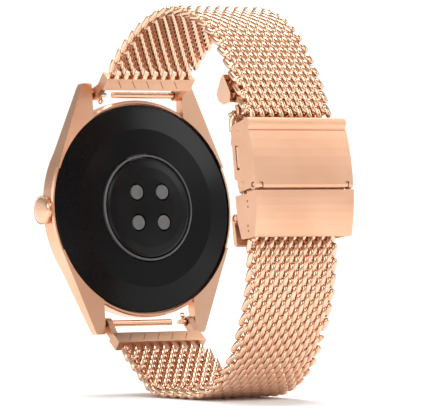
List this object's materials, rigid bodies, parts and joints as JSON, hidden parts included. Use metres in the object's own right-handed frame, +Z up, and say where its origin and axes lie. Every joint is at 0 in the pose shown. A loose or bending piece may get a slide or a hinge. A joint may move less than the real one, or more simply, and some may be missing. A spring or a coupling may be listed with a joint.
{
  "type": "smartwatch",
  "caption": "Round smartwatch with a crown, optical back sensor, quick-release spring bars and a closed mesh strap with fold-over sliding clasp.",
  "frame": {"origin": "centre of the bounding box on the surface the strap rests on", "axes": "+Z up from the strap's resting patch through the loop, +Y from the display towards the clasp, +X towards the crown"},
  "size_m": [0.0414, 0.0586, 0.0703],
  "materials": {
    "rose_gold_case": "brushed rose gold",
    "rose_gold_steel": "polished and brushed rose gold plating",
    "dark_steel": "turned steel",
    "black_back": "gloss black",
    "black_glass": "polished black glass",
    "sensor_grey": "smoked grey",
    "trim_grey": "dark trim",
    "circuit": "circuit board",
    "module_grey": "foil-wrapped module",
    "copper": "wound copper",
    "seal_black": "matt black"
  },
  "bodies": {
    "case": {"case_body": "rose_gold_case", "front_bezel": "rose_gold_case", "display_glass": "black_glass", "display_panel": "black_glass", "back_cover": "black_back", "sensor_ring": "trim_grey", "sensor_lens": "black_glass", "sensor_window_1": "sensor_grey", "sensor_window_2": "sensor_grey", "sensor_window_3": "sensor_grey", "sensor_window_4": "sensor_grey", "sensor_board": "circuit", "charging_coil": "copper", "back_seal": "seal_black", "main_board": "circuit", "battery": "module_grey", "vibration_motor": "module_grey", "speaker": "seal_black", "push_switch": "module_grey", "crown_tube": "dark_steel", "spring_bar_upper": "dark_steel", "spring_bar_lower": "dark_steel"},
    "stem": {"crown_stem": "dark_steel"},
    "crown": {"crown_cap": "rose_gold_case"},
    "release_upper": {"release_pin_upper": "rose_gold_steel"},
    "release_lower": {"release_pin_lower": "rose_gold_steel"},
    "strap_upper": {"strap_upper_end": "rose_gold_steel", "strap_upper_mesh": "rose_gold_steel", "strap_upper_hook": "rose_gold_steel"},
    "strap_lower": {"strap_lower_end": "rose_gold_steel", "strap_lower_mesh": "rose_gold_steel", "strap_tail_cap": "rose_gold_steel"},
    "clasp": {"clasp_frame": "rose_gold_steel", "slider_shell": "rose_gold_steel", "hook_bar": "dark_steel", "cover_hinge_pin": "dark_steel", "lock_hinge_pin": "dark_steel"},
    "cover": {"clasp_cover": "rose_gold_steel"},
    "lock": {"lock_plate": "rose_gold_steel"}
  },
  "joints": [
    {"name": "crown_press", "type": "slide", "parent": "case", "child": "stem", "axis": [1, 0, 0], "range_m": [-0.00025, 0], "stiffness_N_per_m": 400},
    {"name": "crown_turn", "type": "hinge", "parent": "stem", "child": "crown", "pos_m": [0.0193, -0.02296, 0.03348], "axis": [1, 0, 0], "continuous": true},
    {"name": "release_upper_slide", "type": "slide", "parent": "case", "child": "release_upper", "axis": [1, 0, 0], "range_m": [-0.0014, 0], "stiffness_N_per_m": 300},
    {"name": "release_lower_slide", "type": "slide", "parent": "case", "child": "release_lower", "axis": [-1, 0, 0], "range_m": [-0.0014, 0], "stiffness_N_per_m": 300},
    {"name": "strap_upper_swing", "type": "hinge", "parent": "case", "child": "strap_upper", "pos_m": [-0.0007, -0.02348, 0.05454], "axis": [1, 0, 0], "range_deg": [0, 22.5]},
    {"name": "strap_lower_swing", "type": "hinge", "parent": "case", "child": "strap_lower", "pos_m": [-0.0007, -0.01916, 0.01277], "axis": [-1, 0, 0], "range_deg": [0, 7.2]},
    {"name": "clasp_slide", "type": "slide", "parent": "strap_lower", "child": "clasp", "axis": [0, -0.1392, 0.9903], "range_m": [-0.003, 0]},
    {"name": "cover_open", "type": "hinge", "parent": "clasp", "child": "cover", "pos_m": [-0.0007, 0.02822, 0.03829], "axis": [-1, 0, 0], "range_deg": [0, 90]},
    {"name": "lock_open", "type": "hinge", "parent": "clasp", "child": "lock", "pos_m": [-0.0007, 0.02269, 0.03234], "axis": [-1, 0, 0], "range_deg": [0, 60]}
  ],
  "couplings": [
    {"joint": "strap_upper_swing", "follows": "cover_open", "ratio": 0.25},
    {"joint": "strap_lower_swing", "follows": "cover_open", "ratio": 0.08}
  ]
}
